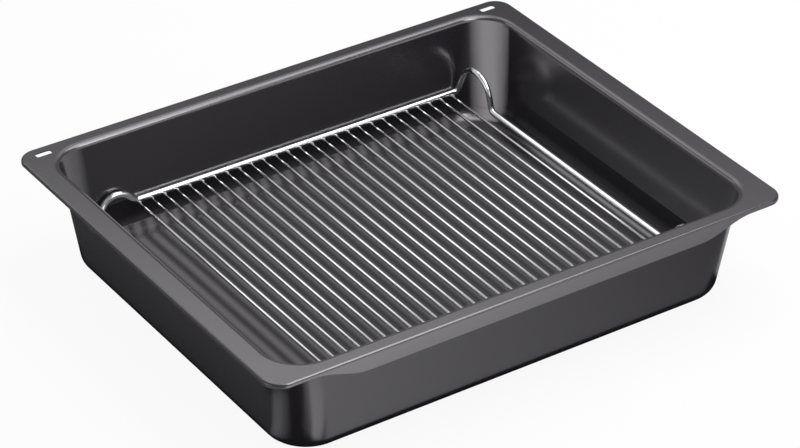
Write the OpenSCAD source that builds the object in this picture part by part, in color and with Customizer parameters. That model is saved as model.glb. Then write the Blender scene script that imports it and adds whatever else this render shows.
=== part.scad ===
// Full-width oven roasting pan with a loose wire rack.
// The pan is one deep-drawn sheet: a flange with a turned-down lip, a front apron,
// tapered walls with leaning corners and a flat floor. The rack is a bent frame wire
// with an arch at each corner and a comb of thin cross wires welded under its ends.
// +X runs along the long side, +Y to the rear and +Z up, from the middle of the underside.

/* [Rim] */
// Length of the rim, left to right
rim_length = 455; // [400:1:520]
// Depth of the rim, front to rear
rim_depth = 375; // [330:1:420]
// Corner radius of the rim in plan
rim_corner_r = 15; // [8:1:24]
// Flat width of the two side flanges
side_flange_w = 15.7; // [13:0.1:24]
// Flat width of the front and rear flanges
end_flange_w = 10; // [8:0.1:18]
// Radius of the edge where the flange turns down
lip_bend_r = 1.8; // [1.6:0.1:2.6]
// Drop of the lip below the top of the flange
lip_drop = 3.5; // [3:0.1:6]

/* [Tub] */
// Height from the underside to the top of the flange
pan_height = 88; // [70:1:110]
// Thickness of the sheet
sheet_t = 1; // [0.8:0.1:1.4]
// Lean of the walls from upright, in degrees
wall_draft = 5.8; // [3:0.1:9]
// Radius of the bend from flange to wall, on the upper face
mouth_bend_r = 5; // [3:0.5:8]
// Radius of the bend from wall to floor, on the underside
floor_bend_r = 12; // [8:0.5:18]
// Corner radius of the mouth in plan, where the flange ends
mouth_corner_r = 34; // [28:1:44]
// Corner radius of the walls in plan, just above the floor bend
foot_corner_r = 34; // [28:1:44]

/* [Apron] */
// Drop of the apron's lower edge below the top of the flange
apron_drop = 14; // [8:0.5:24]
// Length of the apron's straight lower edge
apron_straight_l = 294; // [200:1:310]
// Length of the sweep at each end of the apron
apron_sweep_l = 47; // [30:1:50]

/* [Lip stops] */
// Distance of each stop's front end behind the middle of the pan
stop_front_y = 57.5; // [30:0.5:90]
// Length of each stop along the lip
stop_l = 16.2; // [10:0.2:30]
// Drop of each stop below the lip
stop_drop = 2.5; // [1.5:0.1:5]

/* [Flange slots] */
// Length of each slot, left to right
slot_l = 13.5; // [9:0.5:16]
// Width of each slot, front to rear
slot_w = 5.6; // [4:0.1:7]
// Corner radius of each slot
slot_corner_r = 1.6; // [1:0.1:2]
// Distance from the side edge of the rim to the middle of a slot
slot_side_inset = 20; // [14:0.5:22]
// Distance from the rear edge of the rim to the middle of a slot
slot_rear_inset = 10.5; // [7:0.5:12]

/* [Rack frame] */
// Diameter of the frame wire
frame_wire_d = 5; // [4:0.1:6]
// Height of the frame wire's centre above the underside of the pan
rack_height = 28; // [20:1:36]
// Clearance between the frame wire and the front and rear walls
wall_clearance = 0.3; // [0.2:0.1:2]
// Clearance between the frame wire and the left and right walls
side_clearance = 25.2; // [16:0.2:34]
// Corner radius of the frame in plan, at the right
right_corner_r = 6; // [5:0.5:20]
// Height of the right arches above the frame
right_arch_h = 26; // [20:0.5:32]
// Radius of the bend at the top of a right arch
right_arch_top_r = 20; // [14:0.5:22]
// Slope of the legs of a right arch, in degrees
right_leg_slope = 72; // [62:1:76]
// Corner radius of the frame in plan, at the left
left_corner_r = 12; // [8:0.5:24]
// Height of the left arches above the frame
left_arch_h = 10.5; // [9:0.5:16]
// Radius of the bend at the top of a left arch
left_arch_top_r = 16; // [12:0.5:20]
// Slope of the legs of a left arch, in degrees
left_leg_slope = 42; // [38:1:48]
// Radius of the bend at the foot of every arch
arch_foot_r = 5; // [4:0.5:7]

/* [Cross wires] */
// Number of cross wires
cross_wire_count = 27; // [15:1:27]
// Diameter of a cross wire
cross_wire_d = 2.5; // [2:0.1:3]
// Distance from the centre of the left frame wire to the centre of the first cross wire
left_end_gap = 40.3; // [36:0.1:46]
// Distance from the centre of the right frame wire to the centre of the last cross wire
right_end_gap = 9; // [8:0.5:14]
// Length of a cross wire past the centre of the frame wire, at each end
cross_wire_overlap = 1.5; // [0.5:0.1:2]
// Clearance left for the weld between the frame wire and a cross wire
weld_gap = 0.1; // [0.05:0.05:0.3]

/* [Smoothness] */
// Steps around a quarter turn of the pan in plan
plan_steps = 10; // [6:1:16]
// Steps across each bend of the sheet
bend_steps = 5; // [3:1:8]
// Steps along each end of the apron
sweep_steps = 10; // [6:1:16]
// Steps along each corner of the frame wire
arch_steps = 24; // [16:1:30]
// Sides of the frame wire
frame_wire_sides = 10; // [8:1:12]

/* [Hidden] */
$fn = 32;
function wire_name(i) = str("cross_wire_", i + 1 < 10 ? "0" : "", i + 1);

// How far a cut runs past the sheet
overrun = 2;
// Half sizes of the rim, and of the mouth where the flange bends down
rim_x = rim_length / 2;
rim_y = rim_depth / 2;
mouth_x = rim_x - side_flange_w;
mouth_y = rim_y - end_flange_w;
// Centre of the floor bend, measured from the edge of the mouth
floor_inner_r = floor_bend_r - sheet_t;
floor_centre_z = floor_bend_r - pan_height;
floor_centre_u = (sin(wall_draft) * (floor_centre_z + mouth_bend_r) - mouth_bend_r - floor_inner_r)
    / cos(wall_draft);
// Plan radius that the corners gain over an even taper
foot_u = floor_centre_u + floor_inner_r * cos(wall_draft);
corner_lean = foot_corner_r - mouth_corner_r - foot_u;
// Outline of a lip stop from front to rear, as shares of its length and of its drop
stop_shares = [[0, 0], [0.17, 0.25], [0.42, 0.8], [0.58, 1], [0.76, 0.95], [0.9, 0.65], [1, 0]];

// Half sizes of the frame between wire centres, set by the walls and the clearances to them
frame_wire_r = frame_wire_d / 2;
cross_wire_r = cross_wire_d / 2;
frame_inset = frame_wire_r / cos(wall_draft) - wall_u(rack_height - pan_height);
frame_x = mouth_x - frame_inset - side_clearance;
frame_y = mouth_y - frame_inset - wall_clearance;
// Places of the outermost cross wires, the distance between neighbours and the level of all of them
last_wire_x = frame_x - right_end_gap;
first_wire_x = left_end_gap - frame_x;
cross_wire_pitch = (last_wire_x - first_wire_x) / (cross_wire_count - 1);
cross_wire_z = rack_height - frame_wire_r - weld_gap - cross_wire_r;

// Distance of the wall's upper face from the edge of the mouth, at a depth z below the flange
function wall_u(z) = (sin(wall_draft) * (z + mouth_bend_r) - mouth_bend_r) / cos(wall_draft);

// Rings of the sheet are [half length, half depth, corner radius, height].
// u is measured from the edge of the mouth, z from the top of the flange, and
// lean_share is how much of the corners' extra lean the ring has.
function rim_ring(inset, z) = [rim_x - inset, rim_y - inset, rim_corner_r - inset, pan_height + z];
function tub_ring(u, z, lean_share) =
    [mouth_x + u, mouth_y + u, mouth_corner_r + u + lean_share * corner_lean, pan_height + z];

// One face of the sheet, from the lower edge of the lip to the floor. It lies a depth d
// inside the sheet: zero for the upper face and sheet_t for the lower one.
function skin_rings(d) = concat(
    [rim_ring(d, -lip_drop)],
    [for (i = [0:bend_steps]) let (a = 90 * i / bend_steps, r = lip_bend_r - d)
        rim_ring(lip_bend_r - r * cos(a), r * sin(a) - lip_bend_r)],
    [for (i = [0:bend_steps]) let (a = (90 - wall_draft) * i / bend_steps, r = mouth_bend_r - d)
        tub_ring(-r * sin(a), r * cos(a) - mouth_bend_r, 0)],
    [for (i = [0:bend_steps]) let (a = wall_draft + (90 - wall_draft) * i / bend_steps, r = floor_inner_r + d)
        tub_ring(floor_centre_u + r * cos(a), floor_centre_z - r * sin(a), 1)]
);

// Points of one ring, anticlockwise from the right
function ring_points(ring) = [
    for (corner = [0:3]) let (
        side_x = corner == 0 || corner == 3 ? 1 : -1,
        side_y = corner < 2 ? 1 : -1
    )
    for (i = [0:plan_steps]) let (a = 90 * (corner + i / plan_steps))
        [side_x * (ring[0] - ring[2]) + ring[2] * cos(a), side_y * (ring[1] - ring[2]) + ring[2] * sin(a), ring[3]]
];

// Triangles that join ring i of n points to ring j
function band(i, j, n) = [
    for (k = [0:n - 1]) let (a = i * n + k, b = i * n + (k + 1) % n, c = j * n + k, e = j * n + (k + 1) % n)
        each [[a, c, b], [b, c, e]]
];

function reversed(list) = [for (i = [len(list) - 1:-1:0]) list[i]];

// The drawn sheet as one closed shell: the upper face, then the lower face from its floor out
module drawn_sheet() {
    upper = skin_rings(0);
    rings = concat(upper, reversed(skin_rings(sheet_t)));
    n = 4 * (plan_steps + 1);
    floor_i = len(upper) - 1;
    last_i = len(rings) - 1;
    polyhedron(
        points = [for (ring = rings) each ring_points(ring)],
        faces = concat(
            [for (i = [0:last_i - 1]) if (i != floor_i) each band(i, i + 1, n)],
            band(last_i, 0, n),
            [reversed([for (k = [0:n - 1]) floor_i * n + k])],
            [[for (k = [0:n - 1]) (floor_i + 1) * n + k]]
        ),
        convexity = 6
    );
}

// The apron's lower edge, from its straight stretch out to the lip
function sweep_edge() = [
    for (i = [0:sweep_steps]) let (share = i / sweep_steps) [
        apron_straight_l / 2 + apron_sweep_l * share,
        -lip_drop - (apron_drop - lip_drop) * (1 + cos(180 * share)) / 2
    ]
];

module apron() {
    edge = sweep_edge();
    top_x = apron_straight_l / 2 + apron_sweep_l;
    outline = concat(
        [[top_x, -lip_bend_r]],
        reversed(edge),
        [for (p = edge) [-p[0], p[1]]],
        [[-top_x, -lip_bend_r]]
    );
    translate([0, -rim_y + sheet_t, pan_height]) rotate([90, 0, 0]) linear_extrude(sheet_t) polygon(outline);
}

// One stop under the right-hand lip
module lip_stop() {
    outline = concat(
        [[stop_front_y, -lip_bend_r]],
        [for (p = stop_shares) [stop_front_y + stop_l * p[0], -lip_drop - stop_drop * p[1]]],
        [[stop_front_y + stop_l, -lip_bend_r]]
    );
    translate([rim_x - sheet_t, 0, pan_height]) rotate([90, 0, 90]) linear_extrude(sheet_t) polygon(outline);
}

// Cutter of the slot near the rear right corner
module flange_slot() {
    corner_x = slot_l / 2 - slot_corner_r;
    corner_y = slot_w / 2 - slot_corner_r;
    translate([rim_x - slot_side_inset, rim_y - slot_rear_inset, pan_height - sheet_t - overrun])
        linear_extrude(sheet_t + 2 * overrun) {
            square([slot_l, 2 * corner_y], center = true);
            square([2 * corner_x, slot_w], center = true);
            for (x = [-corner_x, corner_x], y = [-corner_y, corner_y]) translate([x, y]) circle(slot_corner_r);
        }
}

module pan() {
    color([0.25, 0.24, 0.26]) difference() {
        union() {
            drawn_sheet();
            apron();
            for (side = [0, 1]) mirror([side, 0, 0]) lip_stop();
        }
        for (side = [0, 1]) mirror([side, 0, 0]) flange_slot();
    }
}

// An arch is [height, top bend radius, leg slope, plan corner radius, start]: start is the
// distance of its first foot from the middle of the frame, over the outer half of an end wire.
foot_offset = cross_wire_r / 2;
right_arch = [right_arch_h, right_arch_top_r, right_leg_slope, right_corner_r, last_wire_x + foot_offset];
left_arch = [left_arch_h, left_arch_top_r, left_leg_slope, left_corner_r, foot_offset - first_wire_x];

// Length of a leg's straight stretch, and of the whole arch from foot to foot
function leg_length(arch) =
    (arch[0] - (arch_foot_r + arch[1]) * (1 - cos(arch[2]))) / sin(arch[2]);
function arch_span(arch) = 2 * ((arch_foot_r + arch[1]) * sin(arch[2]) + leg_length(arch) * cos(arch[2]));

// Rise of the wire at a distance s from the arch's first foot: a foot bend, a straight leg
// and the top bend, and the same back down
function arch_rise(arch, s) = let (
    span = arch_span(arch),
    d = min(s, span - s),
    foot_l = arch_foot_r * sin(arch[2]),
    leg_l = leg_length(arch) * cos(arch[2])
)
    d <= 0 ? 0
    : d < foot_l ? arch_foot_r - sqrt(pow(arch_foot_r, 2) - pow(d, 2))
    : d < foot_l + leg_l ? arch_foot_r * (1 - cos(arch[2])) + (d - foot_l) * tan(arch[2])
    : arch[0] - arch[1] + sqrt(pow(arch[1], 2) - pow(span / 2 - d, 2));

// Place in plan at a distance t past the start of a corner of radius r
function corner_place(t, r) = let (turn_l = r * PI / 2)
    t < 0 ? [frame_x - r + t, frame_y]
    : t < turn_l ? [frame_x - r + r * sin(90 * t / turn_l), frame_y - r + r * cos(90 * t / turn_l)]
    : [frame_x, frame_y - r - (t - turn_l)];

// Centre line of one corner of the frame, from the rear wire to the side wire
function corner_path(arch) = let (
    r = arch[3],
    start = arch[4] - (frame_x - r),
    from = min(start, 0),
    to = max(start + arch_span(arch), r * PI / 2)
) [
    for (i = [0:arch_steps]) let (t = from + (to - from) * i / arch_steps)
        concat(corner_place(t, r), [rack_height + arch_rise(arch, t - start)])
];

function placed(path, side_x, side_y) = [for (p = path) [side_x * p[0], side_y * p[1], p[2]]];

function unit(v) = v / norm(v);

// One ring of points around the wire at place i of a closed path, clockwise along it
function wire_ring(path, i) = let (
    n = len(path),
    back = unit(path[i] - path[(i + n - 1) % n]),
    ahead = unit(path[(i + 1) % n] - path[i]),
    along = unit(back + ahead),
    across = unit(cross(along, [0, 0, 1])),
    over = cross(across, along)
) [
    for (k = [0:frame_wire_sides - 1]) let (a = 360 * (k + 0.5) / frame_wire_sides)
        path[i] + frame_wire_r * (cos(a) * across - sin(a) * over)
];

module rack_frame() {
    right = corner_path(right_arch);
    left = corner_path(left_arch);
    path = concat(
        placed(right, 1, -1),
        placed(reversed(right), 1, 1),
        placed(left, -1, 1),
        placed(reversed(left), -1, -1)
    );
    n = len(path);
    color([0.82, 0.82, 0.84]) polyhedron(
        points = [for (i = [0:n - 1]) each wire_ring(path, i)],
        faces = [for (i = [0:n - 1]) each band(i, (i + 1) % n, frame_wire_sides)],
        convexity = 8
    );
}

module cross_wire(i) {
    half_l = frame_y + cross_wire_overlap;
    color([0.82, 0.82, 0.84])
        translate([first_wire_x + i * cross_wire_pitch, half_l, cross_wire_z])
            rotate([90, 0, 0]) cylinder(r = cross_wire_r, h = 2 * half_l);
}

pan();
rack_frame();
for (i = [0:cross_wire_count - 1]) cross_wire(i);
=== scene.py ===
"""Roasting pan with a loose wire rack, dressed around its packed construction model.

The classes hold their sizes in millimetres, as a maker writes them, and build their meshes
in metres in the frame of the construction model: +X along the long side, +Y to the rear and
+Z up, with the origin in the middle of the pan's underside.
"""

from __future__ import annotations

import logging
import math
from dataclasses import dataclass, field
from enum import Enum
from typing import Any

import bmesh
import bpy
import numpy as np
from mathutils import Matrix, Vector

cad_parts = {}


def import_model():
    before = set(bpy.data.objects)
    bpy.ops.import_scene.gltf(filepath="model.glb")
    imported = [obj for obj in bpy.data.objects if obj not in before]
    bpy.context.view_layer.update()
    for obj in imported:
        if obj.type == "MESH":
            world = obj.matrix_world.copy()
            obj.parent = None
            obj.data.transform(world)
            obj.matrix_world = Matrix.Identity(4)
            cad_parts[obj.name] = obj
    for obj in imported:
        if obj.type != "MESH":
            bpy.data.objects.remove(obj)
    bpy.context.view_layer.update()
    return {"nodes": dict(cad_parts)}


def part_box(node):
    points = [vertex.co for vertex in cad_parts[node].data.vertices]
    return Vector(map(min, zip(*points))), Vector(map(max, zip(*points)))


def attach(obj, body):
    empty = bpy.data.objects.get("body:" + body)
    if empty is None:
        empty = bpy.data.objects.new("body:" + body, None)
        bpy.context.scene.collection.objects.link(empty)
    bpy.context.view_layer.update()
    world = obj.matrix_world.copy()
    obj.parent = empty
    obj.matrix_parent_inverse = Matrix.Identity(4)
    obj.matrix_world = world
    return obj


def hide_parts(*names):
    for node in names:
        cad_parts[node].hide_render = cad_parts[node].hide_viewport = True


MM = 0.001
# Sides of the frame wire in the construction model
MODEL_WIRE_SIDES = 10
LOG = logging.getLogger("roasting_pan")


class Body(Enum):
    """The two bodies of the construction model."""

    PAN = "pan"
    RACK = "rack"


class Slot(Enum):
    """The material slots of the record."""

    ENAMEL = "enamel"
    CHROME = "chrome"


class Side(Enum):
    """The sides of the pan, in the order in which the stations run round it."""

    REAR = 0
    LEFT = 1
    FRONT = 2
    RIGHT = 3


@dataclass
class TreeBuilder:
    """Adds nodes to one tree and links them.

    Attributes:
        tree: The node tree that is built.
    """

    tree: bpy.types.NodeTree

    def add(self, kind: str, inputs: dict[Any, Any] | None = None, **settings: Any) -> bpy.types.Node:
        """Adds one node.

        Args:
            kind: The node's type name.
            inputs: A value or an output socket for each input, by its name or number.
            **settings: Properties of the node.

        Returns:
            The new node.
        """
        node = self.tree.nodes.new(kind)
        for name, value in settings.items():
            setattr(node, name, value)
        for key, value in (inputs or {}).items():
            if isinstance(value, bpy.types.NodeSocket):
                self.tree.links.new(value, node.inputs[key])
            else:
                node.inputs[key].default_value = value
        return node

    def socket(self, name: str, kind: str, output: bool = False) -> str:
        """Adds a socket to the tree's interface.

        Args:
            name: The socket's name.
            kind: The socket's type name.
            output: Whether it is an output.

        Returns:
            The socket's identifier.
        """
        side = "OUTPUT" if output else "INPUT"
        return self.tree.interface.new_socket(name, in_out=side, socket_type=kind).identifier


def mesh_object(name: str, points: np.ndarray, faces: list[Any]) -> bpy.types.Object:
    """Makes a smooth mesh object at the origin.

    Args:
        name: Name of the object.
        points: Corner points in metres.
        faces: Point numbers of each face.

    Returns:
        The new object, linked to the scene.
    """
    mesh = bpy.data.meshes.new(name)
    mesh.from_pydata([tuple(p) for p in points], [], [tuple(int(i) for i in face) for face in faces])
    mesh.validate()
    mesh.shade_smooth()
    obj = bpy.data.objects.new(name, mesh)
    bpy.context.scene.collection.objects.link(obj)
    return obj


def bake(obj: bpy.types.Object) -> bpy.types.Object:
    """Turns an object with its modifiers into a plain mesh object of the same name.

    Args:
        obj: The object, which is removed.

    Returns:
        The plain object, linked to the scene.
    """
    name = obj.name
    bpy.context.view_layer.update()
    graph = bpy.context.evaluated_depsgraph_get()
    mesh = bpy.data.meshes.new_from_object(obj.evaluated_get(graph), depsgraph=graph)
    bpy.data.objects.remove(obj)
    mesh.name = name
    plain = bpy.data.objects.new(name, mesh)
    bpy.context.scene.collection.objects.link(plain)
    return plain


def surface_grain() -> bpy.types.NodeTree:
    """Builds the shader group for fine grain and soft clouds, which every finish uses.

    Returns:
        The group: Vector and Scale in, Grain, Clouds and Height out.
    """
    name = "surface_grain"
    cloud_share = 0.03
    wave_share = 0.4
    if name in bpy.data.node_groups:
        return bpy.data.node_groups[name]
    build = TreeBuilder(bpy.data.node_groups.new(name, "ShaderNodeTree"))
    build.socket("Vector", "NodeSocketVector")
    build.socket("Scale", "NodeSocketFloat")
    for output in ("Grain", "Clouds", "Height"):
        build.socket(output, "NodeSocketFloat", output=True)
    entry = build.add("NodeGroupInput")
    vector, scale = entry.outputs["Vector"], entry.outputs["Scale"]
    grain = build.add(
        "ShaderNodeTexNoise", {"Vector": vector, "Scale": scale, "Detail": 3.0, "Roughness": 0.55}
    )
    coarse = build.add("ShaderNodeMath", {0: scale, 1: cloud_share}, operation="MULTIPLY")
    clouds = build.add("ShaderNodeTexNoise", {"Vector": vector, "Scale": coarse.outputs[0], "Detail": 2.0})
    middle = build.add("ShaderNodeMath", {0: scale, 1: wave_share}, operation="MULTIPLY")
    waves = build.add("ShaderNodeTexNoise", {"Vector": vector, "Scale": middle.outputs[0], "Detail": 1.0})
    height = build.add("ShaderNodeMath", {0: grain.outputs["Fac"], 1: waves.outputs["Fac"]}, operation="ADD")
    build.add(
        "NodeGroupOutput",
        {"Grain": grain.outputs["Fac"], "Clouds": clouds.outputs["Fac"], "Height": height.outputs[0]},
    )
    return build.tree


@dataclass(frozen=True)
class Finish:
    """A finish whose colour and gloss vary with the shared grain.

    Attributes:
        name: Name of the material.
        dark: Darkest colour, linear.
        light: Lightest colour, linear.
        metallic: Metallic value.
        ior: Index of refraction.
        rough_low: Lowest roughness.
        rough_high: Highest roughness.
        grain_mm: Size of the grain.
        bump: Strength of the bump.
        bump_mm: Height of the bump.
        tint: Tint of its reflections.
    """

    name: str
    dark: tuple[float, float, float]
    light: tuple[float, float, float]
    metallic: float
    ior: float
    rough_low: float
    rough_high: float
    grain_mm: float
    bump: float
    bump_mm: float
    tint: tuple[float, float, float] = (1.0, 1.0, 1.0)

    def material(self) -> bpy.types.Material:
        """Builds the material.

        Returns:
            The material, or the one that is there already.
        """
        if self.name in bpy.data.materials:
            return bpy.data.materials[self.name]
        material = bpy.data.materials.new(self.name)
        material.use_nodes = True
        build = TreeBuilder(material.node_tree)
        build.tree.nodes.clear()
        place = build.add("ShaderNodeTexCoord").outputs["Object"]
        grain = build.add("ShaderNodeGroup", node_tree=surface_grain())
        build.tree.links.new(place, grain.inputs["Vector"])
        grain.inputs["Scale"].default_value = 1 / (self.grain_mm * MM)
        colour = build.add("ShaderNodeMix", data_type="RGBA")
        build.tree.links.new(grain.outputs["Grain"], colour.inputs["Factor"])
        colour.inputs["A"].default_value = (*self.dark, 1)
        colour.inputs["B"].default_value = (*self.light, 1)
        rough = build.add(
            "ShaderNodeMapRange",
            {"Value": grain.outputs["Clouds"], "From Min": 0.3, "From Max": 0.7,
             "To Min": self.rough_low, "To Max": self.rough_high},
        )
        bump = build.add(
            "ShaderNodeBump",
            {"Height": grain.outputs["Height"], "Strength": self.bump, "Distance": self.bump_mm * MM},
        )
        shader = build.add(
            "ShaderNodeBsdfPrincipled",
            {"Base Color": colour.outputs["Result"], "Roughness": rough.outputs["Result"],
             "Normal": bump.outputs["Normal"], "Metallic": self.metallic, "IOR": self.ior,
             "Specular Tint": (*self.tint, 1)},
        )
        build.add("ShaderNodeOutputMaterial", {"Surface": shader.outputs["BSDF"]})
        return material


ENAMEL = Finish(
    name="dark_enamel", dark=(0.016, 0.0142, 0.0185), light=(0.026, 0.0235, 0.0285), metallic=0.0, ior=1.9,
    rough_low=0.21, rough_high=0.23, grain_mm=0.9, bump=0.05, bump_mm=0.03, tint=(0.985, 0.955, 1.0),
)
CHROME = Finish(
    name="bright_chrome", dark=(0.74, 0.745, 0.76), light=(0.86, 0.865, 0.88), metallic=1.0, ior=1.5,
    rough_low=0.10, rough_high=0.14, grain_mm=0.8, bump=0.02, bump_mm=0.01,
)
WELD = Finish(
    name="chromed_weld", dark=(0.50, 0.50, 0.51), light=(0.80, 0.80, 0.82), metallic=1.0, ior=1.5,
    rough_low=0.2, rough_high=0.34, grain_mm=0.35, bump=0.35, bump_mm=0.08,
)


@dataclass
class Stations:
    """Places round the pan at which each ring of the sheet has a point.

    Attributes:
        across: Place along X, as a share of a ring's straight half length.
        along: Place along Y, as a share of a ring's straight half depth.
        angle: Plan angle of the outward direction, in radians.
        side: Number of the side that the station lies on, or -1 in a corner.
    """

    across: list[float] = field(default_factory=list)
    along: list[float] = field(default_factory=list)
    angle: list[float] = field(default_factory=list)
    side: list[int] = field(default_factory=list)

    def append(self, across: float, along: float, angle: float, side: int) -> None:
        """Adds one station.

        Args:
            across: Place along X, as a share of a ring's straight half length.
            along: Place along Y, as a share of a ring's straight half depth.
            angle: Plan angle of the outward direction, in radians.
            side: Number of the side, or -1 in a corner.
        """
        self.across.append(across)
        self.along.append(along)
        self.angle.append(angle)
        self.side.append(side)

    def __len__(self) -> int:
        """Returns the number of stations."""
        return len(self.angle)


@dataclass(frozen=True)
class Ring:
    """A rounded rectangle round the pan, in millimetres.

    Attributes:
        half_x: Half length.
        half_y: Half depth.
        corner_r: Corner radius in plan.
        z: Height above the underside, one value or one for each station.
    """

    half_x: float
    half_y: float
    corner_r: float
    z: float | np.ndarray

    def points(self, stations: Stations) -> np.ndarray:
        """Places the ring's points.

        Args:
            stations: The stations round the pan.

        Returns:
            The point at each station, in metres.
        """
        angle = np.array(stations.angle)
        x = np.array(stations.across) * (self.half_x - self.corner_r) + self.corner_r * np.cos(angle)
        y = np.array(stations.along) * (self.half_y - self.corner_r) + self.corner_r * np.sin(angle)
        z = np.broadcast_to(np.asarray(self.z, float), x.shape)
        return np.column_stack([x, y, z]) * MM

    def towards(self, other: Ring, share: float) -> Ring:
        """Returns the ring at a share of the way to another one."""
        mix = [a + (b - a) * share for a, b in zip(self.values(), other.values())]
        return Ring(*mix)

    def values(self) -> tuple[float, float, float, float | np.ndarray]:
        """Returns the ring's four values."""
        return self.half_x, self.half_y, self.corner_r, self.z


@dataclass
class RoastingPan:
    """The deep-drawn pan: flange, lip, apron, stops, walls and floor in one sheet.

    Its outer sizes come from the construction model.
    """

    rim_length: float
    rim_depth: float
    height: float
    sheet_t: float = 1.0

    # Flange and lip
    rim_corner_r: float = 15.0
    side_flange_w: float = 15.7
    end_flange_w: float = 10.0
    lip_bend_r: float = 1.8
    lip_drop: float = 3.5
    lip_edge_r: float = 0.4

    # Mouth, walls and floor
    mouth_corner_r: float = 34.0
    mouth_bend_r: float = 5.0
    foot_corner_r: float = 34.0
    floor_bend_r: float = 12.0
    floor_crown: float = 0.35
    wall_draft: float = 5.8

    # Apron of the front lip
    apron_drop: float = 14.0
    apron_straight_l: float = 294.0
    apron_sweep_l: float = 47.0

    # Stops under the side lips
    stop_front_y: float = 57.5
    stop_l: float = 16.2
    stop_drop: float = 2.5
    stop_peak_share: float = 0.58

    # Slots in the flange's rear corners
    slot_l: float = 13.5
    slot_w: float = 5.6
    slot_corner_r: float = 1.6
    slot_side_inset: float = 20.0
    slot_rear_inset: float = 10.5
    slot_edge_r: float = 0.25

    # Steps of the mesh, and the distance from a bend to the ring that keeps it tight
    support: float = 0.3
    plan_steps: int = 20
    bend_steps: int = 9
    edge_steps: int = 3
    sweep_steps: int = 24
    stop_steps: int = 18
    slot_steps: int = 6

    @classmethod
    def from_frame(cls) -> RoastingPan:
        """Reads the outer sizes from the construction model.

        Returns:
            The pan.
        """
        low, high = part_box("pan")
        size = (high - low) / MM
        return cls(rim_length=size.x, rim_depth=size.y, height=size.z)

    def build(self) -> bpy.types.Object:
        """Builds the finished pan.

        Returns:
            The pan as one closed mesh with its slots.
        """
        stations = self.stations()
        rings = self.rings(stations)
        count = len(stations)
        points = np.vstack([ring.points(stations) for ring in rings])
        floor_i = len(self.skin(stations, 0.0)) - 1
        faces: list[Any] = []
        for i in range(len(rings)):
            if i == floor_i:
                continue
            j = (i + 1) % len(rings)
            for k in range(count):
                m = (k + 1) % count
                faces.append((i * count + k, i * count + m, j * count + m, j * count + k))
        faces.append(range(floor_i * count, (floor_i + 1) * count))
        faces.append(range((floor_i + 2) * count - 1, (floor_i + 1) * count - 1, -1))
        pan = mesh_object("roasting_pan", points, faces)
        pan.data.materials.append(ENAMEL.material())
        return self.cut_slots(pan)

    def stations(self) -> Stations:
        """Places the stations.

        Returns:
            The corners' stations, and along the sides one at each place where the lip changes.
        """
        stations = Stations()
        signs = ((1, 1), (-1, 1), (-1, -1), (1, -1))
        for side in Side:
            sx, sy = signs[side.value]
            for i in range(self.plan_steps + 1):
                angle = math.radians(90 * (side.value + i / self.plan_steps))
                stations.append(sx, sy, angle, -1)
            for share in self.side_shares(side):
                if side in (Side.REAR, Side.FRONT):
                    stations.append(share, sy, angle, side.value)
                else:
                    stations.append(sx, share, angle, side.value)
        return stations

    def side_shares(self, side: Side) -> list[float]:
        """Places of the stations along one side, as shares of the rim's straight half side.

        Args:
            side: The side.

        Returns:
            The shares in the order in which the side is run through.
        """
        half_x = self.rim_length / 2 - self.rim_corner_r
        half_y = self.rim_depth / 2 - self.rim_corner_r
        if side is Side.FRONT:
            start = self.apron_straight_l / 2
            sweep = [start + self.apron_sweep_l * i / self.sweep_steps for i in range(self.sweep_steps + 1)]
            shares = [x / half_x for x in sweep]
            return [-s for s in reversed(shares)] + [-0.35, 0.0, 0.35] + shares
        if side is Side.REAR:
            return [0.75, 0.5, 0.25, 0.0, -0.25, -0.5, -0.75]
        stop = [self.stop_front_y + self.stop_l * i / self.stop_steps for i in range(self.stop_steps + 1)]
        shares = [-0.8, -0.5, -0.2, 0.1] + [y / half_y for y in stop] + [0.6, 0.8]
        return shares if side is Side.RIGHT else shares[::-1]

    def drops(self, stations: Stations) -> np.ndarray:
        """Works out the depth of the lip.

        Args:
            stations: The stations round the pan.

        Returns:
            The drop of the lip's lower edge below the flange at each station.
        """
        half_x = self.rim_length / 2 - self.rim_corner_r
        half_y = self.rim_depth / 2 - self.rim_corner_r
        drops = np.full(len(stations), self.lip_drop)
        for i, side in enumerate(stations.side):
            if side == Side.FRONT.value:
                x = abs(stations.across[i]) * half_x
                share = np.clip((x - self.apron_straight_l / 2) / self.apron_sweep_l, 0, 1)
                drops[i] += (self.apron_drop - self.lip_drop) * (1 + math.cos(math.pi * share)) / 2
            elif side in (Side.LEFT.value, Side.RIGHT.value):
                share = (stations.along[i] * half_y - self.stop_front_y) / self.stop_l
                drops[i] += self.stop_drop * self.stop_profile(share)
        return drops

    def stop_profile(self, share: float) -> float:
        """Depth of a lip stop, as a share of its drop.

        Args:
            share: Place along the stop, from its front end.

        Returns:
            A soft rise to the peak, and a rounded fall behind it.
        """
        if not 0 < share < 1:
            return 0.0
        if share < self.stop_peak_share:
            return math.sin(math.pi / 2 * share / self.stop_peak_share) ** 2
        return 1 - ((share - self.stop_peak_share) / (1 - self.stop_peak_share)) ** 3.5

    def rim_ring(self, inset: float, z: float | np.ndarray) -> Ring:
        """Ring of the rim.

        Args:
            inset: Distance inwards from the rim's outer edge.
            z: Height from the flange, one value or one for each station.

        Returns:
            The ring.
        """
        return Ring(
            self.rim_length / 2 - inset,
            self.rim_depth / 2 - inset,
            self.rim_corner_r - inset,
            self.height + z,
        )

    def tub_ring(self, u: float, z: float, lean_share: float) -> Ring:
        """Ring of the tub at a distance u from the edge of the mouth.

        Args:
            u: Distance outwards from the edge of the mouth.
            z: Height from the flange.
            lean_share: Share of the extra lean of the corners.

        Returns:
            The ring.
        """
        _, _, foot_u = self.floor_bend()
        lean = self.foot_corner_r - self.mouth_corner_r - foot_u
        return Ring(
            self.rim_length / 2 - self.side_flange_w + u,
            self.rim_depth / 2 - self.end_flange_w + u,
            self.mouth_corner_r + u + lean_share * lean,
            self.height + z,
        )

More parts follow.
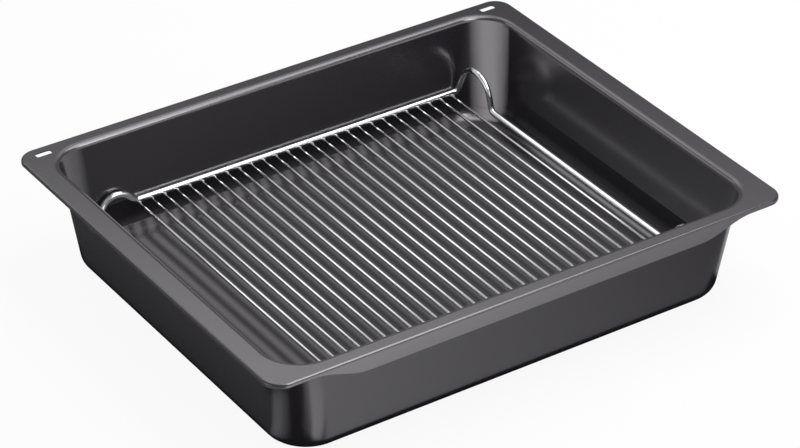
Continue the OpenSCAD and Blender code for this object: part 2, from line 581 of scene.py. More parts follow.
    def floor_bend(self) -> tuple[float, float, float]:
        """Places the bend between the walls and the floor.

        Returns:
            The distance of its centre from the edge of the mouth, the height of its centre from
            the flange, and the distance of the walls' foot from the edge of the mouth.
        """
        draft = math.radians(self.wall_draft)
        inner_r = self.floor_bend_r - self.sheet_t
        z = self.floor_bend_r - self.height
        u = (math.sin(draft) * (z + self.mouth_bend_r) - self.mouth_bend_r - inner_r) / math.cos(draft)
        return u, z, u + inner_r * math.cos(draft)

    def skin(self, stations: Stations, d: float) -> list[Ring]:
        """Rings of one face of the sheet, from the lip's lower edge to the middle of the floor.

        Args:
            stations: The stations round the pan.
            d: Depth inside the sheet: zero for the upper face, the sheet's thickness for the lower.

        Returns:
            The rings in order.
        """
        outward = 1 if d == 0 else -1
        drops = self.drops(stations)
        rings = []
        for i in range(self.edge_steps + 1):
            a = math.pi / 2 * i / self.edge_steps
            inset = d + outward * self.lip_edge_r * (1 - math.sin(a))
            rings.append(self.rim_ring(inset, self.lip_edge_r * (1 - math.cos(a)) - drops))
        rings.append(self.rim_ring(d, -self.lip_bend_r - self.support))
        for i in range(self.bend_steps + 1):
            a = math.radians(90 * i / self.bend_steps)
            r = self.lip_bend_r - d
            rings.append(self.rim_ring(self.lip_bend_r - r * math.cos(a), r * math.sin(a) - self.lip_bend_r))
        rings.append(self.rim_ring(self.lip_bend_r + self.support, -d))
        rings.append(self.tub_ring(self.support, -d, 0))
        draft = math.radians(self.wall_draft)
        for i in range(self.bend_steps + 1):
            a = (math.pi / 2 - draft) * i / self.bend_steps
            r = self.mouth_bend_r - d
            rings.append(self.tub_ring(-r * math.sin(a), r * math.cos(a) - self.mouth_bend_r, 0))
        centre_u, centre_z, _ = self.floor_bend()
        bend = []
        for i in range(self.bend_steps + 1):
            a = draft + (math.pi / 2 - draft) * i / self.bend_steps
            r = self.floor_bend_r - self.sheet_t + d
            bend.append(self.tub_ring(centre_u + r * math.cos(a), centre_z - r * math.sin(a), 1))
        rings += [rings[-1].towards(bend[0], share) for share in (0.005, 0.25, 0.5, 0.75, 0.995)]
        rings += bend
        edge = bend[-1]
        for share in (0.997, 0.85, 0.7, 0.5, 0.3, 0.1):
            rise = self.floor_crown * (1 - share ** 2)
            rings.append(
                Ring(edge.half_x * share, edge.half_y * share, edge.corner_r * share, edge.z + rise)
            )
        return rings

    def rings(self, stations: Stations) -> list[Ring]:
        """Returns the rings of the closed sheet: the upper face in, then the lower face out."""
        return self.skin(stations, 0.0) + self.skin(stations, self.sheet_t)[::-1]

    def cut_slots(self, pan: bpy.types.Object) -> bpy.types.Object:
        """Cuts the two slots through the flange and eases their edges.

        Args:
            pan: The closed sheet.

        Returns:
            The finished pan.
        """
        cutter = self.slot_cutter()
        cut = pan.modifiers.new("slots", "BOOLEAN")
        cut.operation = "DIFFERENCE"
        cut.solver = "EXACT"
        cut.object = cutter
        ease = pan.modifiers.new("slot_edges", "BEVEL")
        ease.limit_method = "ANGLE"
        ease.angle_limit = math.radians(60)
        ease.width = self.slot_edge_r * MM
        ease.segments = 2
        shade = pan.modifiers.new("flat_shading", "WEIGHTED_NORMAL")
        shade.keep_sharp = False
        pan = bake(pan)
        bpy.data.objects.remove(cutter)
        return pan

    def slot_cutter(self) -> bpy.types.Object:
        """Builds the cutter of both slots.

        Returns:
            Two upright rounded prisms as one object.
        """
        x0 = self.rim_length / 2 - self.slot_side_inset
        y0 = self.rim_depth / 2 - self.slot_rear_inset
        outline = []
        for sx, sy, turn in ((1, 1, 0), (-1, 1, 90), (-1, -1, 180), (1, -1, 270)):
            for i in range(self.slot_steps + 1):
                a = math.radians(turn + 90 * i / self.slot_steps)
                x = sx * (self.slot_l / 2 - self.slot_corner_r) + self.slot_corner_r * math.cos(a)
                y = sy * (self.slot_w / 2 - self.slot_corner_r) + self.slot_corner_r * math.sin(a)
                outline.append((x, y))
        count = len(outline)
        points, faces = [], []
        for side in (1, -1):
            base = len(points)
            for z in (self.height - 3 * self.sheet_t, self.height + 3 * self.sheet_t):
                points += [(side * x0 + x, y0 + y, z) for x, y in outline]
            for k in range(count):
                m = (k + 1) % count
                faces.append((base + k, base + m, base + count + m, base + count + k))
            faces.append(range(base + count - 1, base - 1, -1))
            faces.append(range(base + count, base + 2 * count))
        return mesh_object("slot_cutter", np.array(points) * MM, faces)


@dataclass(frozen=True)
class Arch:
    """A raised corner of the frame wire, in millimetres.

    Attributes:
        height: Rise of the wire's centre above the frame.
        top_r: Radius of the bend at the top.
        slope: Slope of the legs, in degrees.
        corner_r: Corner radius of the frame in plan.
        foot_r: Radius of the bend at each foot.
    """

    height: float
    top_r: float
    slope: float
    corner_r: float
    foot_r: float = 5.0

    def leg_run(self) -> float:
        """Returns the plan length of a leg's straight stretch."""
        a = math.radians(self.slope)
        return (self.height - (self.foot_r + self.top_r) * (1 - math.cos(a))) / math.tan(a)

    def foot_run(self) -> float:
        """Returns the plan length of a foot bend."""
        return self.foot_r * math.sin(math.radians(self.slope))

    def span(self) -> float:
        """Returns the plan length of the whole arch."""
        top = self.top_r * math.sin(math.radians(self.slope))
        return 2 * (self.foot_run() + self.leg_run() + top)

    def rise(self, s: float) -> float:
        """Rise of the wire along the arch.

        Args:
            s: Distance in plan from the first foot.

        Returns:
            The height above the frame.
        """
        d = min(s, self.span() - s)
        a = math.radians(self.slope)
        if d <= 0:
            return 0.0
        if d < self.foot_run():
            return self.foot_r - math.sqrt(self.foot_r ** 2 - d ** 2)
        if d < self.foot_run() + self.leg_run():
            return self.foot_r * (1 - math.cos(a)) + (d - self.foot_run()) * math.tan(a)
        return self.height - self.top_r + math.sqrt(self.top_r ** 2 - (self.span() / 2 - d) ** 2)


@dataclass
class WireRack:
    """The loose rack: a bent frame wire, a comb of cross wires and their welds.

    The places of its wires come from the construction model.
    """

    frame_x: float
    frame_y: float
    frame_z: float
    first_x: float
    last_x: float
    cross_z: float
    cross_half_l: float
    cross_count: int
    frame_wire_r: float = 2.5
    cross_wire_r: float = 1.25
    right_arch: Arch = Arch(height=26, top_r=20, slope=72, corner_r=6)
    left_arch: Arch = Arch(height=10.5, top_r=16, slope=42, corner_r=12)
    arch_steps: int = 72
    frame_sides: int = 24
    cross_sides: int = 16
    end_round: float = 0.35
    weld_size: tuple[float, float, float] = (1.5, 1.9, 1.1)
    weld_spread: float = 0.16

    @classmethod
    def from_frame(cls, nodes: list[str]) -> WireRack:
        """Reads the places of the wires from the construction model.

        Args:
            nodes: Names of the cross wires' nodes, left to right.

        Returns:
            The rack.
        """
        low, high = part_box("rack_frame")
        wire_r = cls.frame_wire_r
        flat_r = wire_r * math.cos(math.pi / MODEL_WIRE_SIDES)
        first_low, first_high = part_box(nodes[0])
        last_low, last_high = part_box(nodes[-1])
        return cls(
            frame_x=high.x / MM - flat_r,
            frame_y=high.y / MM - flat_r,
            frame_z=low.z / MM + wire_r,
            first_x=(first_low.x + first_high.x) / 2 / MM,
            last_x=(last_low.x + last_high.x) / 2 / MM,
            cross_z=(first_low.z + first_high.z) / 2 / MM,
            cross_half_l=first_high.y / MM,
            cross_count=len(nodes),
        )

    def corner_place(self, t: float, r: float) -> tuple[float, float]:
        """Place in plan on the frame.

        Args:
            t: Distance along the wire past the start of the corner.
            r: Radius of the corner.

        Returns:
            The place along X and Y.
        """
        turn = r * math.pi / 2
        if t < 0:
            return self.frame_x - r + t, self.frame_y
        if t < turn:
            a = t / r
            return self.frame_x - r + r * math.sin(a), self.frame_y - r + r * math.cos(a)
        return self.frame_x, self.frame_y - r - (t - turn)

    def corner_path(self, arch: Arch, reach: float) -> list[tuple[float, float, float]]:
        """Centre line of one corner of the frame, from the rear wire to the side wire.

        Args:
            arch: The corner's arch.
            reach: Distance of the arch's first foot from the middle of the frame.

        Returns:
            The points, in millimetres.
        """
        start = reach - (self.frame_x - arch.corner_r)
        low = min(start, 0)
        high = max(start + arch.span(), arch.corner_r * math.pi / 2)
        path = []
        for i in range(self.arch_steps + 1):
            t = low + (high - low) * i / self.arch_steps
            path.append((*self.corner_place(t, arch.corner_r), self.frame_z + arch.rise(t - start)))
        return path

    def frame_path(self) -> np.ndarray:
        """Works out the frame wire's centre line.

        Returns:
            Its points as a closed loop, in millimetres.
        """
        right = np.array(self.corner_path(self.right_arch, self.last_x + self.cross_wire_r / 2))
        left = np.array(self.corner_path(self.left_arch, self.cross_wire_r / 2 - self.first_x))
        return np.vstack([
            right * (1, -1, 1),
            right[::-1],
            left * (-1, 1, 1),
            left[::-1] * (-1, -1, 1),
        ])

    def frame_wire(self) -> bpy.types.Object:
        """Builds the bent frame wire.

        Returns:
            The wire as one closed mesh.
        """
        path = self.frame_path()
        curve = curve_object("rack_frame_wire", path, np.ones(len(path)), closed=True)
        return sweep(curve, self.frame_wire_r, self.frame_sides, 1, 0.0, CHROME)

    def cross_wires(self) -> bpy.types.Object:
        """Builds the comb of cross wires, with eased ends.

        Returns:
            The wires as one mesh.
        """
        half, ease = self.cross_half_l, self.end_round
        places = [-half, -half + ease * 0.3, -half + ease]
        radii = [1 - ease / self.cross_wire_r, 1 - 0.3 * ease / self.cross_wire_r, 1.0]
        places += [-y for y in reversed(places)]
        radii += radii[::-1]
        path = np.array([(self.first_x, y, self.cross_z) for y in places])
        curve = curve_object("cross_wires", path, np.array(radii), closed=False)
        pitch = (self.last_x - self.first_x) / (self.cross_count - 1)
        return sweep(curve, self.cross_wire_r, self.cross_sides, self.cross_count, pitch, CHROME)

    def weld_beads(self) -> bpy.types.Object:
        """Builds a weld bead at each crossing of the frame wire and a cross wire.

        Returns:
            The beads as one mesh.
        """
        xs = np.linspace(self.first_x, self.last_x, self.cross_count)
        z = self.frame_z - self.frame_wire_r
        points = np.array([(x, y, z) for y in (-self.frame_y, self.frame_y) for x in xs]) * MM
        seeds = mesh_object("weld_beads", points, [])
        tree, sockets = bead_tree()
        set_inputs(seeds, tree, sockets, {
            "Size": Vector(self.weld_size) * MM, "Spread": self.weld_spread, "Material": WELD.material(),
        })
        return bake(seeds)


def curve_object(name: str, path: np.ndarray, radii: np.ndarray, closed: bool) -> bpy.types.Object:
    """Makes a curve object of one straight-stepped spline.

    Args:
        name: Name of the object.
        path: Points in millimetres.
        radii: Radius of each point, as a share of the wire's.
        closed: Whether the spline is a loop.

    Returns:
        The curve object, linked to the scene.
    """
    curve = bpy.data.curves.new(name, "CURVE")
    curve.dimensions = "3D"
    spline = curve.splines.new("POLY")
    spline.points.add(len(path) - 1)
    for point, place, radius in zip(spline.points, path * MM, radii):
        point.co = (*place, 1)
        point.radius = radius
    spline.use_cyclic_u = closed
    obj = bpy.data.objects.new(name, curve)
    bpy.context.scene.collection.objects.link(obj)
    return obj


def sweep_tree() -> tuple[bpy.types.NodeTree, dict[str, str]]:
    """Builds the tree that sweeps a round wire along a curve and repeats it along X.

    Returns:
        The tree, and its inputs' identifiers by name.
    """
    build = TreeBuilder(bpy.data.node_groups.new("wire_sweep", "GeometryNodeTree"))
    build.socket("Geometry", "NodeSocketGeometry")
    sockets = {
        "Radius": build.socket("Radius", "NodeSocketFloat"),
        "Sides": build.socket("Sides", "NodeSocketInt"),
        "Count": build.socket("Count", "NodeSocketInt"),
        "Pitch": build.socket("Pitch", "NodeSocketVector"),
        "Material": build.socket("Material", "NodeSocketMaterial"),
    }
    build.socket("Geometry", "NodeSocketGeometry", output=True)
    entry = build.add("NodeGroupInput").outputs
    profile = build.add(
        "GeometryNodeCurvePrimitiveCircle", {"Radius": entry["Radius"], "Resolution": entry["Sides"]}
    )
    radius = build.add("GeometryNodeInputRadius")
    tube = build.add(
        "GeometryNodeCurveToMesh",
        {"Curve": entry["Geometry"], "Profile Curve": profile.outputs["Curve"],
         "Scale": radius.outputs[0], "Fill Caps": True},
    )
    places = build.add("GeometryNodeMeshLine", {"Count": entry["Count"], "Offset": entry["Pitch"]})
    copies = build.add(
        "GeometryNodeInstanceOnPoints", {"Points": places.outputs["Mesh"], "Instance": tube.outputs["Mesh"]}
    )
    real = build.add("GeometryNodeRealizeInstances", {"Geometry": copies.outputs["Instances"]})
    smooth = build.add("GeometryNodeSetShadeSmooth", {"Geometry": real.outputs["Geometry"]})
    dressed = build.add(
        "GeometryNodeSetMaterial", {"Geometry": smooth.outputs["Geometry"], "Material": entry["Material"]}
    )
    build.add("NodeGroupOutput", {"Geometry": dressed.outputs["Geometry"]})
    return build.tree, sockets


def bead_tree() -> tuple[bpy.types.NodeTree, dict[str, str]]:
    """Builds the tree that sets a slightly uneven weld bead on each point.

    Returns:
        The tree, and its inputs' identifiers by name.
    """
    build = TreeBuilder(bpy.data.node_groups.new("weld_beads", "GeometryNodeTree"))
    build.socket("Geometry", "NodeSocketGeometry")
    sockets = {
        "Size": build.socket("Size", "NodeSocketVector"),
        "Spread": build.socket("Spread", "NodeSocketFloat"),
        "Material": build.socket("Material", "NodeSocketMaterial"),
    }
    build.socket("Geometry", "NodeSocketGeometry", output=True)
    entry = build.add("NodeGroupInput").outputs
    bead = build.add("GeometryNodeMeshIcoSphere", {"Radius": 1.0, "Subdivisions": 3})
    least = build.add("ShaderNodeMath", {0: 1.0, 1: entry["Spread"]}, operation="SUBTRACT")
    most = build.add("ShaderNodeMath", {0: 1.0, 1: entry["Spread"]}, operation="ADD")
    share = build.add(
        "FunctionNodeRandomValue", {"Min": least.outputs[0], "Max": most.outputs[0], "Seed": 4}
    )
    share_out = next(s for s in share.outputs if s.enabled)
    size = build.add(
        "ShaderNodeVectorMath", {"Vector": entry["Size"], "Scale": share_out}, operation="SCALE"
    )
    copies = build.add(
        "GeometryNodeInstanceOnPoints",
        {"Points": entry["Geometry"], "Instance": bead.outputs["Mesh"], "Scale": size.outputs["Vector"]},
    )
    real = build.add("GeometryNodeRealizeInstances", {"Geometry": copies.outputs["Instances"]})
    smooth = build.add("GeometryNodeSetShadeSmooth", {"Geometry": real.outputs["Geometry"]})
    dressed = build.add(
        "GeometryNodeSetMaterial", {"Geometry": smooth.outputs["Geometry"], "Material": entry["Material"]}
    )
    build.add("NodeGroupOutput", {"Geometry": dressed.outputs["Geometry"]})
    return build.tree, sockets


def set_inputs(
    obj: bpy.types.Object, tree: bpy.types.NodeTree, sockets: dict[str, str], values: dict[str, Any]
) -> None:
    """Puts a tree on an object and sets its inputs before it is first evaluated.

    Args:
        obj: The object that the tree works on.
        tree: The geometry node tree.
        sockets: The identifiers of the tree's inputs by name.
        values: The value of each input by name.
    """
    modifier = obj.modifiers.new(tree.name, "NODES")
    modifier.node_group = tree
    for name, value in values.items():
        modifier[sockets[name]] = value


def sweep(
    curve: bpy.types.Object, radius: float, sides: int, count: int, pitch: float, finish: Finish
) -> bpy.types.Object:
    """Sweeps a wire along a curve.

    Args:
        curve: The curve object, which is used up.
        radius: Radius of the wire, in millimetres.
        sides: Sides of the wire.
        count: Number of copies along X.
        pitch: Distance between copies, in millimetres.
        finish: The wire's finish.

    Returns:
        The wire or wires as one plain mesh.
    """
    tree, sockets = sweep_tree()
    set_inputs(curve, tree, sockets, {
        "Radius": radius * MM, "Sides": sides, "Count": count,
        "Pitch": Vector((pitch * MM, 0, 0)), "Material": finish.material(),
    })
    return bake(curve)


@dataclass(frozen=True)
class Viewpoint:
    """The camera's place, as seen from the pan.

    Attributes:
        azimuth: Turn of the view round the pan, in degrees: 0 looks along +Y.
        elevation: Height above the horizon, in degrees.
        distance: Distance from the target, in metres.
        target: Point at the middle of the picture, in metres.
        lens: Focal length on a 36 mm wide sensor.
    """

    azimuth: float = -33.698
    elevation: float = 32.467
    distance: float = 2.52723
    target: tuple[float, float, float] = (-0.035945, -0.058434, 0.088)
    lens: float = 153.28

    def camera(self) -> bpy.types.Object:
        """Makes the camera and puts it in the scene.

        Returns:
            The camera.
        """
        a, e = math.radians(self.azimuth), math.radians(self.elevation)
        back = Vector((math.sin(a) * math.cos(e), -math.cos(a) * math.cos(e), math.sin(e)))
        data = bpy.data.cameras.new("camera")
        data.lens = self.lens
        data.sensor_width = 36
        data.sensor_fit = "HORIZONTAL"
        data.clip_end = 100
        camera = bpy.data.objects.new("camera", data)
        camera.location = Vector(self.target) + back * self.distance
        camera.rotation_euler = back.to_track_quat("Z", "Y").to_euler()
        bpy.context.scene.collection.objects.link(camera)
        bpy.context.scene.camera = camera
        return camera


@dataclass(frozen=True)
class Softbox:
    """An area lamp.

    Attributes:
        name: Name of the lamp.
        place: Its middle, in metres.
        aim: The point that it faces, in metres.
        size: Its width and height, in metres.
        radiance: Its brightness, where 1 is a white surface.
    """

    name: str
    place: tuple[float, float, float]
    aim: tuple[float, float, float]
    size: tuple[float, float]
    radiance: float

    def lamp(self) -> bpy.types.Object:
        """Makes the lamp and puts it in the scene.

        Returns:
            The lamp.
        """
        data = bpy.data.lights.new(self.name, "AREA")
        data.shape = "RECTANGLE"
        data.size, data.size_y = self.size
        data.energy = self.radiance * math.pi * self.size[0] * self.size[1]
        lamp = bpy.data.objects.new(self.name, data)
        lamp.location = self.place
        away = Vector(self.place) - Vector(self.aim)
        lamp.rotation_euler = away.to_track_quat("Z", "Y").to_euler()
        lamp.visible_camera = False
        bpy.context.scene.collection.objects.link(lamp)
        return lamp


@dataclass(frozen=True)
class PaintedWireShadows:
    """Soft dark stripes across X: painted shadows of the rack's cross wires on the pan's floor.

    Attributes:
        start: Place of the first stripe, in metres.
        pitch: Distance between stripes, in metres.
        depth: Share by which they are darker.
    """

    start: float
    pitch: float
    depth: float


@dataclass(frozen=True)
class Card:
    """A flat card that only reflections see, and only from its front: painted light, which the pan and rack
    show as painted highlights, painted reflections or painted shade.

    Attributes:
        name: Name of the card.
        corners: Its corners in metres, anticlockwise as seen from its front.
        radiance: Its brightness at each corner, where 1 is a white surface.
        soft: Share of the way to its middle over which its edges fade.
        stripes: Its painted shadows of the cross wires, or nothing for a plain card.
        sideways: Whether only the edges at the ends of its first side fade.
    """

    name: str
    corners: tuple[tuple[float, float, float], ...]
    radiance: tuple[float, ...]
    soft: float = 0.0
    stripes: PaintedWireShadows | None = None
    sideways: bool = False

    def card(self) -> bpy.types.Object:
        """Makes the card as a piece of the stage.

        Its inner points come first, and the faces between them and the corners fade out.

        Returns:
            The card.
        """
        outer = np.array(self.corners, float)
        count = len(outer)
        faces: list[Any] = [range(count)]
        if self.sideways:
            inner = outer + (outer[[1, 0, 3, 2]] - outer) * self.soft / 2
            faces += [(4, 0, 3, 7), (1, 5, 6, 2)]
        else:
            inner = outer + (outer.mean(0) - outer) * max(self.soft, 0.001)
            for i in range(count):
                j = (i + 1) % count
                faces.append((i + count, j + count, j, i))
        card = mesh_object(self.name, np.vstack([inner, outer]), faces)
        self.paint(card, "cover", [1.0] * count + [0.0] * count)
        self.paint(card, "radiance", [*self.radiance, *self.radiance])
        card.data.materials.append(self.material())
        card.visible_camera = False
        card.visible_diffuse = False
        card.visible_shadow = False
        return card

    def paint(self, card: bpy.types.Object, name: str, values: list[float]) -> None:
        """Stores a value at each point of the card.

        Args:
            card: The card.
            name: Name of the attribute.
            values: The values in the points' order.
        """
        layer = card.data.attributes.new(name, "FLOAT", "POINT")
        layer.data.foreach_set("value", values)

    def striped(self, build: TreeBuilder, radiance: bpy.types.NodeSocket) -> bpy.types.NodeSocket:
        """Adds soft dark stripes, the painted shadows of the cross wires, to a radiance.

        Args:
            build: The builder of the card's material.
            radiance: The plain radiance.

        Returns:
            The striped radiance.
        """
        stripes = self.stripes
        place = build.add("ShaderNodeTexCoord").outputs["Object"]
        x = build.add("ShaderNodeSeparateXYZ", {0: place}).outputs["X"]
        turns = math.tau / stripes.pitch
        half = stripes.depth / 2
        phase = build.add(
            "ShaderNodeMath", {0: x, 1: turns, 2: -stripes.start * turns}, operation="MULTIPLY_ADD"
        )
        wave = build.add("ShaderNodeMath", {0: phase.outputs[0]}, operation="COSINE")
        share = build.add(
            "ShaderNodeMath", {0: wave.outputs[0], 1: -half, 2: 1 - half}, operation="MULTIPLY_ADD"
        )
        dimmed = build.add("ShaderNodeMath", {0: radiance, 1: share.outputs[0]}, operation="MULTIPLY")
        return dimmed.outputs[0]

    def material(self) -> bpy.types.Material:
        """Builds the card's material, which is clear behind and beyond its soft edges.

        Returns:
            The material.
        """
        material = bpy.data.materials.new(self.name)
        material.use_nodes = True
        build = TreeBuilder(material.node_tree)
        build.tree.nodes.clear()
        radiance = build.add("ShaderNodeAttribute", attribute_name="radiance").outputs["Fac"]
        if self.stripes:
            radiance = self.striped(build, radiance)
        glow = build.add("ShaderNodeEmission", {"Color": (1, 1, 1, 1), "Strength": radiance})
        clear = build.add("ShaderNodeBsdfTransparent")
        side = build.add("ShaderNodeNewGeometry").outputs["Backfacing"]
        front = build.add("ShaderNodeMath", {0: 1.0, 1: side}, operation="SUBTRACT")
        cover = build.add("ShaderNodeAttribute", attribute_name="cover").outputs["Fac"]
        share = build.add("ShaderNodeMath", {0: front.outputs[0], 1: cover}, operation="MULTIPLY")
        mix = build.add(
            "ShaderNodeMixShader", {0: share.outputs[0], 1: clear.outputs[0], 2: glow.outputs[0]}
        )
        build.add("ShaderNodeOutputMaterial", {"Surface": mix.outputs[0]})
        material.cycles.emission_sampling = "NONE"
        return material


def rounded_card(
    name: str, height: float, half: tuple[float, float],
    radii: tuple[float, ...], radiance: tuple[float, ...],
) -> Card:
    """Makes a level card with rounded corners that faces up, centred on the origin.

    Args:
        name: Name of the card.
        height: Its height in metres.
        half: Half its length and half its width in metres.
        radii: Radius of each corner in metres, from the front left one anticlockwise.
        radiance: Brightness at each corner, in the same order.

    Returns:
        The card.
    """
    signs = ((-1, -1), (1, -1), (1, 1), (-1, 1))
    steps = 4
    points: list[tuple[float, float, float]] = []
    levels: list[float] = []
    for turn, (sign, radius, level) in enumerate(zip(signs, radii, radiance)):
        for step in range(steps + 1):
            angle = math.radians(180 + 90 * (turn + step / steps))
            x = sign[0] * (half[0] - radius) + radius * math.cos(angle)
            y = sign[1] * (half[1] - radius) + radius * math.sin(angle)
            points.append((x, y, height))
            levels.append(level)
    return Card(name, tuple(points), tuple(levels))


def floor_card(
    name: str, height: float, plan: tuple[tuple[float, float], ...],
    radiance: tuple[float, ...], soft: float = 0.0,
) -> Card:
    """Makes a level card that faces up.

    Args:
        name: Name of the card.
        height: Its height above the floor, in metres.
        plan: Its corners in plan, anticlockwise, in metres.
        radiance: Its brightness at each corner.
        soft: Share over which its edges fade.

    Returns:
        The card.
    """
    return Card(name, tuple((x, y, height) for x, y in plan), radiance, soft)


@dataclass
class Studio:
    """The white floor, the lamps, the cards and the camera.

    Attributes:
        floor_half: Half the side of the square floor, in metres.
        camera_glow: Part of the floor's white, to the camera, that no shadow dims.
        camera_colour: Colour, to the camera, of the part that shadows dim.
        floor_colour: Colour of the floor to all other rays.
        world_fill: Brightness of the world to all rays but the camera's.
        view: The camera's place.
        softboxes: The lamps.
        cards: The cards, which paint highlights, reflections and shade into what the pan and rack
            mirror: those on the floor round the pan, those in the tub, those above the pan, and those
            along its rear wall.
    """

    floor_half: float = 12.0
    camera_glow: float = 0.92
    camera_colour: float = 0.08
    floor_colour: float = 0.8
    world_fill: float = 0.32
    view: Viewpoint = Viewpoint()
    softboxes: tuple[Softbox, ...] = (
        Softbox("edge_softbox", (0.38, -0.02, 0.95), (0.38, -0.02, 0.0), (0.75, 0.75), 3.7),
        Softbox("wire_softbox", (-0.50, 0.90, 0.78), (0.0, 0.0, 0.05), (0.6, 0.5), 1.3),
        Softbox("front_softbox", (0.75, -1.4, 0.45), (0.0, 0.0, 0.1), (1.5, 0.8), 1.3),
        Softbox("left_softbox", (-1.6, 0.0, 0.45), (0.0, 0.0, 0.1), (1.1, 0.7), 1.2),
    )
    cards: tuple[Card, ...] = (
        # Painted shadow: a black sheet round the pan's foot, which the lower walls and bends mirror as the
        # floor's contact shadow.
        floor_card(
            "foot_flag", 0.0009,
            ((-0.207, -0.175), (0.210, -0.175), (0.210, 0.175), (-0.207, 0.175)), (0.0,) * 4, 0.03,
        ),
        # Painted shadow: darker next to the left wall, which mirrors it as the floor's shadow beside the
        # pan.
        floor_card(
            "left_flag", 0.0003,
            ((-0.45, -0.115), (-0.18, -0.13), (-0.18, 0.50), (-0.45, 0.50)), (0.4, 0.03, 0.03, 0.4),
        ),
        # Painted reflection: light, dark and light bands that the pan's front left corner mirrors.
        floor_card(
            "left_corner_glow", 0.0006,
            ((-0.190, -0.135), (-0.285, -0.095), (-0.285, -0.165), (-0.190, -0.147)), (0.5,) * 4, 0.5,
        ),
        floor_card(
            "corner_flag", 0.0008,
            ((-0.186, -0.142), (-0.278, -0.178), (-0.222, -0.250), (-0.188, -0.162)), (0.0,) * 4, 0.35,
        ),
        floor_card(
            "corner_glow", 0.0007,
            ((-0.184, -0.160), (-0.2045, -0.245), (-0.13, -0.245), (-0.176, -0.165)),
            (1.3, 1.3, 0.95, 0.95), 0.25,
        ),
        # Painted reflection: the front wall mirrors this card, lighter at the left and darker at the right.
        floor_card(
            "wall_glow", 0.0005,
            ((-0.176, -0.160), (-0.125, -0.262), (0.33, -0.262), (0.33, -0.160)), (0.78, 0.78, 0.04, 0.04),
        ),
        # Painted reflection: the apron mirrors this card, lighter at the left.
        floor_card(
            "apron_glow", 0.0005,
            ((-0.24, -0.42), (0.33, -0.42), (0.33, -0.262), (-0.20, -0.262)), (2.2, 1.0, 1.0, 2.2),
        ),
        # Painted shadow: a black patch that the wall under the front left lip mirrors as the lip's contact
        # shadow.
        floor_card(
            "lip_flag", 0.0010,
            ((-0.265, -0.075), (-0.28, -0.11), (-0.285, -0.15), (-0.275, -0.20), (-0.25, -0.235),
             (-0.222, -0.198), (-0.236, -0.181), (-0.248, -0.146), (-0.246, -0.12), (-0.232, -0.085)),
            (0.0,) * 10, 0.1,
        ),
        # Painted reflection and painted shadow: the pan's floor mirrors this card as its sheen, striped with
        # a painted shadow of each cross wire. The stripes stay in place when the rack is lifted.
        Card(
            "tub_glow",
            ((-0.147, -0.16, 0.008), (-0.147, 0.163, 0.008), (0.165, 0.163, 0.008),
             (0.19, 0.14, 0.008), (0.19, -0.14, 0.008), (0.165, -0.16, 0.008)),
            (0.98, 0.98, 0.86, 0.86, 0.86, 0.86), 0.02, PaintedWireShadows(start=-0.1411, pitch=0.01174, depth=0.85),
        ),
        # Painted reflection: the sheen of the floor to the left of the cross wires.
        Card(
            "tub_side_glow",
            ((-0.19, -0.14, 0.0079), (-0.19, 0.14, 0.0079),
             (-0.144, 0.163, 0.0079), (-0.144, -0.16, 0.0079)),
            (0.86,) * 4,
        ),
        # Painted shade: a dark sheet just above the floor, which the inner walls mirror.
        floor_card(
            "tub_flag", 0.0085,
            ((-0.19, -0.155), (0.19, -0.155), (0.19, 0.155), (-0.19, 0.155)), (0.03,) * 4,
        ),
        # Painted reflection: a dim sheet in the tub, which the inner walls mirror. It is darkest at its rear
        # right corner.
        rounded_card(
            "rack_flag", 0.029, (0.2018, 0.1675),
            (0.0334, 0.0334, 0.065, 0.0334), (0.17, 0.26, 0.06, 0.17),
        ),
        # Painted highlight: the front lip's crease and the rim's bends mirror this bright card, which lights
        # nothing.
        Card(
            "crease_glow",
            ((-0.077, -0.533, 1.033), (0.395, -0.365, 1.033),
             (0.517, -0.707, 0.767), (0.045, -0.875, 0.767)),
            (8.0,) * 4,
        ),
        # Painted reflection: the flange mirrors this card, which fades away from its corner nearest the pan.
        Card(
            "ceiling_glow", ((0.0, 1.75, 0.8), (1.35, 1.75, 0.8), (1.35, 0.45, 0.8), (0.0, 0.45, 0.8)),
            (0.1, 0.1, 0.45, 2.7),
        ),
        # Painted reflection: an upright card along the rear wall, which the floor's rear bend and the wires
        # mirror.
        Card(
            "rear_glow",
            ((-0.17, 0.16, 0.035), (0.144, 0.16, 0.035), (0.185, 0.16, 0.088), (-0.17, 0.16, 0.088)),
            (0.6,) * 4,
        ),
        # Painted highlight: upright strips in the rear corners, which the corners and the floor bends below
        # them mirror as bright bands.
        Card(
            "rear_right_glow",
            ((0.1923, 0.1390, 0.0), (0.1777, 0.1553, 0.0),
             (0.1858, 0.1686, 0.088), (0.2004, 0.1523, 0.088)),
            (2.3,) * 4, 0.8, sideways=True,
        ),
        Card(
            "rear_left_glow",
            ((-0.1676, 0.159, 0.0), (-0.187, 0.1512, 0.0),
             (-0.1952, 0.1645, 0.088), (-0.1758, 0.1723, 0.088)),
            (0.75,) * 4, 0.5, sideways=True,
        ),
    )

    def build(self) -> None:
        """Builds the whole studio."""
        self.view.camera()
        self.floor()
        self.world()
        for softbox in self.softboxes:
            softbox.lamp()
        for card in self.cards:
            card.card()
        bpy.context.scene.view_settings.view_transform = "Standard"

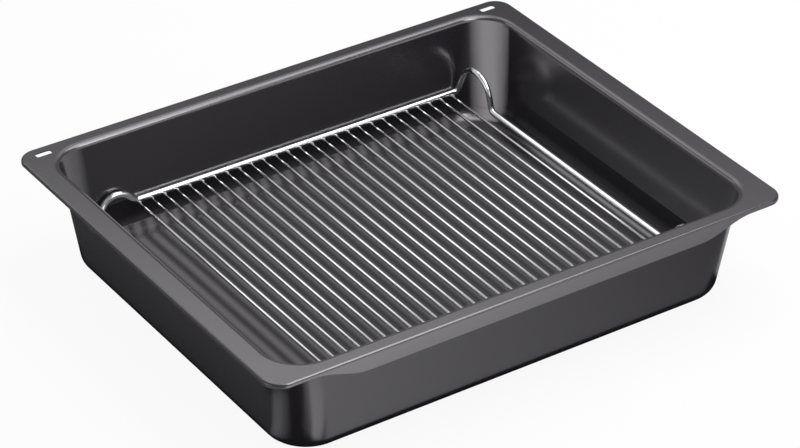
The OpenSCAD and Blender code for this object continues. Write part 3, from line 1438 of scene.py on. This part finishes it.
    def floor(self) -> None:
        """Makes the white floor, which keeps a soft shadow."""
        h = self.floor_half
        corners = np.array([(-h, -h, 0), (h, -h, 0), (h, h, 0), (-h, h, 0)])
        floor = mesh_object("studio_floor", corners, [(0, 1, 2, 3)])
        material = bpy.data.materials.new("studio_floor")
        material.use_nodes = True
        build = TreeBuilder(material.node_tree)
        build.tree.nodes.clear()
        path = build.add("ShaderNodeLightPath").outputs
        matt = build.add("ShaderNodeBsdfDiffuse", {"Color": (*(self.floor_colour,) * 3, 1)})
        pale = build.add("ShaderNodeBsdfDiffuse", {"Color": (*(self.camera_colour,) * 3, 1)})
        glow = build.add("ShaderNodeEmission", {"Color": (1, 1, 1, 1), "Strength": self.camera_glow})
        seen = build.add("ShaderNodeAddShader", {0: pale.outputs[0], 1: glow.outputs[0]})
        mix = build.add(
            "ShaderNodeMixShader", {0: path["Is Camera Ray"], 1: matt.outputs[0], 2: seen.outputs[0]}
        )
        build.add("ShaderNodeOutputMaterial", {"Surface": mix.outputs[0]})
        material.cycles.emission_sampling = "NONE"
        floor.data.materials.append(material)

    def world(self) -> None:
        """Makes the world: white to the camera, and a soft fill to all other rays."""
        world = bpy.data.worlds.new("studio_world")
        world.use_nodes = True
        bpy.context.scene.world = world
        build = TreeBuilder(world.node_tree)
        build.tree.nodes.clear()
        fill = build.add("ShaderNodeBackground", {"Color": (1, 1, 1, 1), "Strength": self.world_fill})
        white = build.add("ShaderNodeBackground", {"Color": (1, 1, 1, 1), "Strength": 1.0})
        path = build.add("ShaderNodeLightPath").outputs
        mix = build.add(
            "ShaderNodeMixShader", {0: path["Is Camera Ray"], 1: fill.outputs[0], 2: white.outputs[0]}
        )
        build.add("ShaderNodeOutputWorld", {"Surface": mix.outputs[0]})


def declare(obj: bpy.types.Object, body: Body, nodes: list[str]) -> None:
    """Says which body a piece rides on and hides the nodes that it replaces.

    Args:
        obj: The finished piece.
        body: The body that it moves with.
        nodes: The nodes that it stands for.
    """
    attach(obj, body.value)
    if nodes:
        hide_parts(*nodes)
    LOG.info("%s: %d points, %d faces", obj.name, len(obj.data.vertices), len(obj.data.polygons))


def corners(box: Any) -> list[list[float]]:
    """Returns a box's two corners as plain lists."""
    return [[float(v) for v in corner] for corner in box]


def main() -> None:
    """Builds the dressed object and its studio."""
    logging.basicConfig(level=logging.INFO, format="%(message)s")
    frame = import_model()
    Studio().build()
    cross_nodes = sorted(name for name in frame["nodes"] if name.startswith("cross_wire_"))
    declare(RoastingPan.from_frame().build(), Body.PAN, ["pan"])
    rack = WireRack.from_frame(cross_nodes)
    declare(rack.frame_wire(), Body.RACK, ["rack_frame"])
    declare(rack.cross_wires(), Body.RACK, cross_nodes)
    declare(rack.weld_beads(), Body.RACK, [])


if __name__ == "__main__":
    main()
